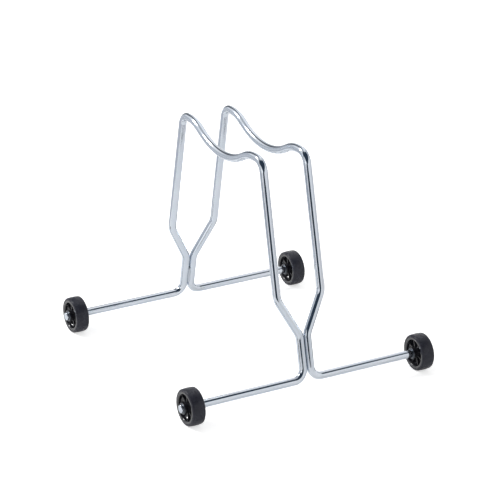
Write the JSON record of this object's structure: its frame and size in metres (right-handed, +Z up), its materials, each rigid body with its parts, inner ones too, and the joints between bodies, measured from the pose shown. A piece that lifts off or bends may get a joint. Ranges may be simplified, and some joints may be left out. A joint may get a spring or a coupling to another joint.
{
  "type": "rolling bicycle parking stand",
  "caption": "Floor stand for a bicycle: mirrored bent steel rods form two hoops over Y-shaped ends, and moulded wheels turn on the rod ends.",
  "frame": {"origin": "on the floor, midway between the four wheels", "axes": "+X to the right along the axles, +Y from the near Y frame to the far one, +Z up"},
  "size_m": [0.4148, 0.43, 0.3495],
  "materials": {
    "rod": "bright bluish zinc or chrome plating on cold-drawn round rod",
    "weld": "weld bead under the same plating, duller and rippled",
    "tyre": "matte black tread",
    "hub": "black injection moulding, satin",
    "washer": "blackened spring steel"
  },
  "bodies": {
    "frame": {"left_rod": "rod", "right_rod": "rod", "near_weld": "weld", "far_weld": "weld", "near_left_outer_washer": "washer", "near_left_inner_washer": "washer", "near_right_outer_washer": "washer", "near_right_inner_washer": "washer", "far_left_outer_washer": "washer", "far_left_inner_washer": "washer", "far_right_outer_washer": "washer", "far_right_inner_washer": "washer"},
    "near_left_wheel": {"near_left_tyre": "tyre", "near_left_hub": "hub"},
    "near_right_wheel": {"near_right_tyre": "tyre", "near_right_hub": "hub"},
    "far_left_wheel": {"far_left_tyre": "tyre", "far_left_hub": "hub"},
    "far_right_wheel": {"far_right_tyre": "tyre", "far_right_hub": "hub"}
  },
  "joints": [
    {"name": "near_left_wheel_spin", "type": "hinge", "parent": "frame", "child": "near_left_wheel", "pos_m": [-0.19, -0.1875, 0.0275], "axis": [1, 0, 0], "continuous": true},
    {"name": "near_right_wheel_spin", "type": "hinge", "parent": "frame", "child": "near_right_wheel", "pos_m": [0.19, -0.1875, 0.0275], "axis": [1, 0, 0], "continuous": true},
    {"name": "far_left_wheel_spin", "type": "hinge", "parent": "frame", "child": "far_left_wheel", "pos_m": [-0.19, 0.1875, 0.0275], "axis": [1, 0, 0], "continuous": true},
    {"name": "far_right_wheel_spin", "type": "hinge", "parent": "frame", "child": "far_right_wheel", "pos_m": [0.19, 0.1875, 0.0275], "axis": [1, 0, 0], "continuous": true}
  ]
}
